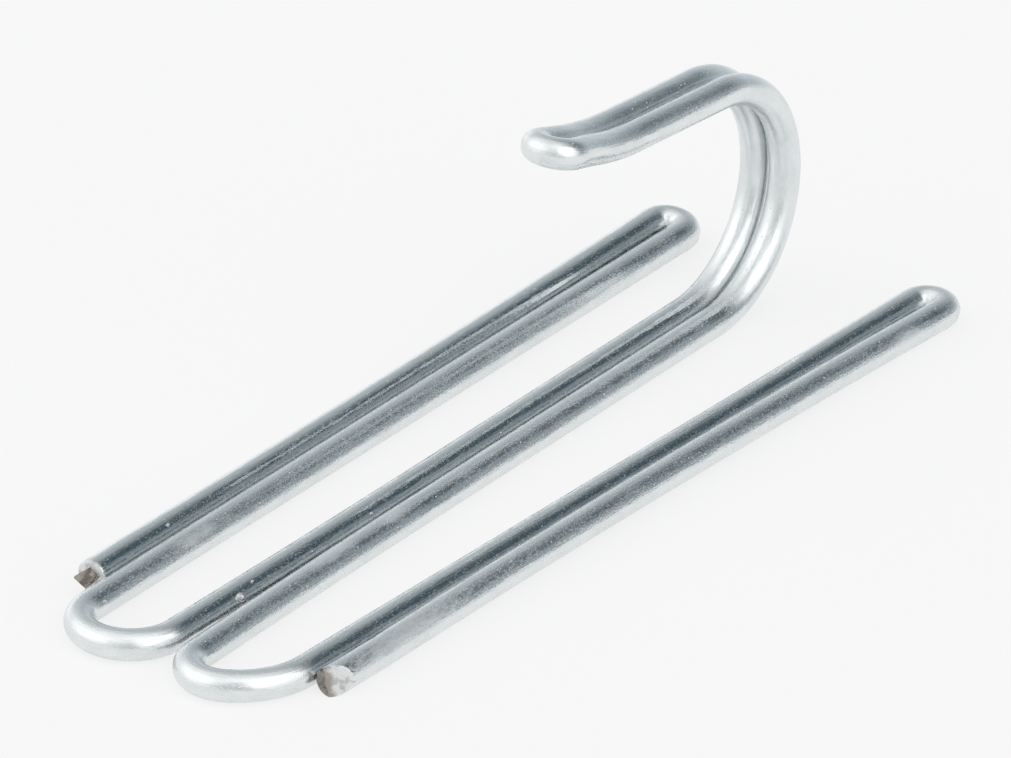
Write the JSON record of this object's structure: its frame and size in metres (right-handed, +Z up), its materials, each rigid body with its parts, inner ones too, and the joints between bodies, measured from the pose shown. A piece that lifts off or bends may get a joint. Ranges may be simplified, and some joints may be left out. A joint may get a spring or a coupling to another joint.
{
  "type": "finger hook",
  "caption": "Curtain pleat hook bent from a single zinc-plated steel wire: folded fingers beside a doubled shank that rises into an open hook with a flared looped tip.",
  "frame": {"origin": "under the middle of the hook's box, on the surface that it lies on", "axes": "+X along the fingers towards their folds, +Y towards the finger on the picture's far side, +Z up, the way the hook rises from the shank"},
  "size_m": [0.0696, 0.024, 0.0203],
  "materials": {
    "zinc_wire": "bright zinc plate, drawn wire"
  },
  "bodies": {
    "root": {"hook_wire": "zinc_wire"}
  },
  "joints": []
}
